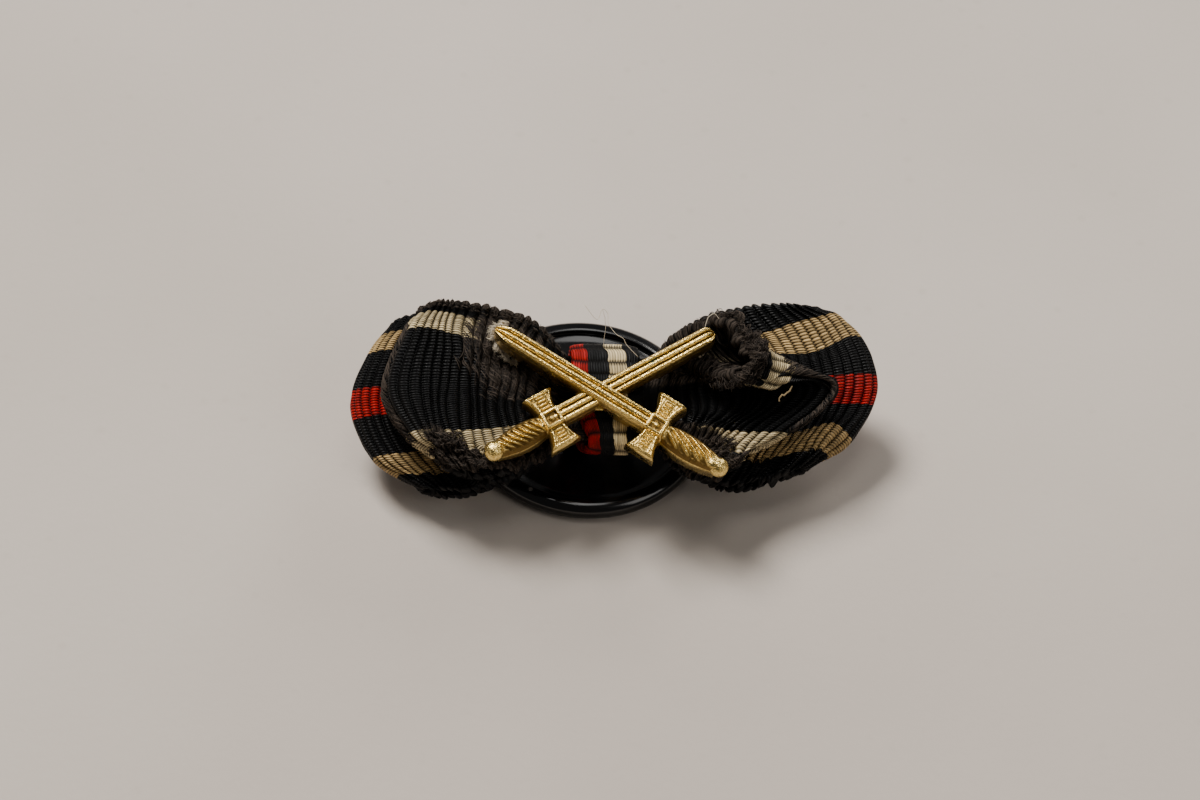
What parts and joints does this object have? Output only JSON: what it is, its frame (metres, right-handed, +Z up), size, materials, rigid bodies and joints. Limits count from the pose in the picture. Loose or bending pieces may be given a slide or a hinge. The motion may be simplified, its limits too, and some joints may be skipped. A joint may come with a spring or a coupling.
{
  "type": "buttonhole ribbon with crossed swords",
  "caption": "Bow of striped medal ribbons bound by a wrapped knot, with gilt crossed swords on its front and a dished stud disc behind.",
  "frame": {"origin": "centre of the underside of the stud disc, on the surface that the part stands on", "axes": "+X along the bow to the viewer's right, +Y towards the bow's raised far edge, +Z up out of the bow's front"},
  "size_m": [0.0372, 0.0184, 0.0111],
  "materials": {
    "black_lacquer": "glossy black lacquer with fine wear",
    "striped_grosgrain": "ribbed silk, black with tan and red stripes",
    "black_white_grosgrain": "ribbed silk, black with two off-white stripes, worn to brown fibres",
    "knot_grosgrain": "ribbed silk, red, black and off-white",
    "gilt_brass": "gilt, satin with rubbed high spots"
  },
  "bodies": {
    "root": {"button_disc": "black_lacquer", "stud_neck": "black_lacquer", "striped_ribbon": "striped_grosgrain", "black_ribbon": "black_white_grosgrain", "knot_band": "knot_grosgrain", "crossed_swords": "gilt_brass"}
  },
  "joints": []
}
